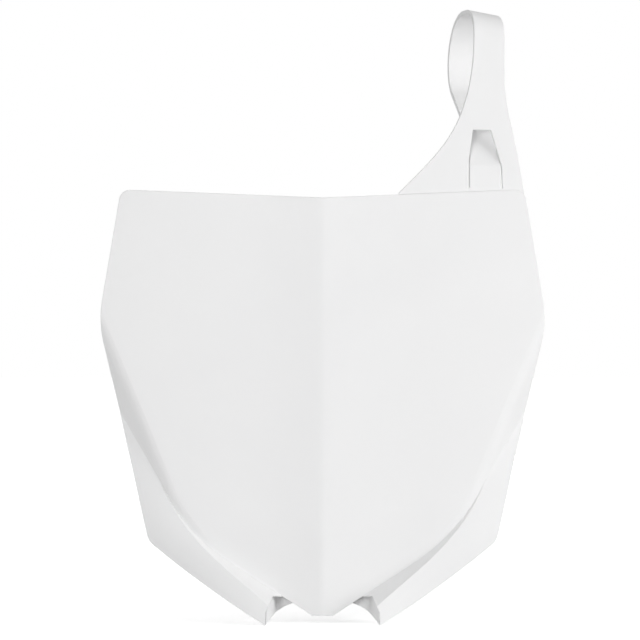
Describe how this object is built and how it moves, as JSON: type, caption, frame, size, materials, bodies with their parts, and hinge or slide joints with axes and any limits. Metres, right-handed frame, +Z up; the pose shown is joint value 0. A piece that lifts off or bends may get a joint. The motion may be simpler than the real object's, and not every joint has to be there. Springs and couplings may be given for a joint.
{
  "type": "motocross front number board",
  "caption": "Ridged front number board with side wings, a rear shelf bored for a bolt, and a strap that loops round the handlebar's cross tube and hooks on a spring catch.",
  "frame": {"origin": "centre of the bolt hole in the rear shelf, halfway through the shelf", "axes": "+Z up along the bolt hole, +Y towards the bike (the face looks along -Y), +X to the right as seen from the front"},
  "size_m": [0.2398, 0.0678, 0.3321],
  "materials": {
    "white_plastic": "satin moulded polypropylene"
  },
  "bodies": {
    "root": {"number_board": "white_plastic"}
  },
  "joints": []
}
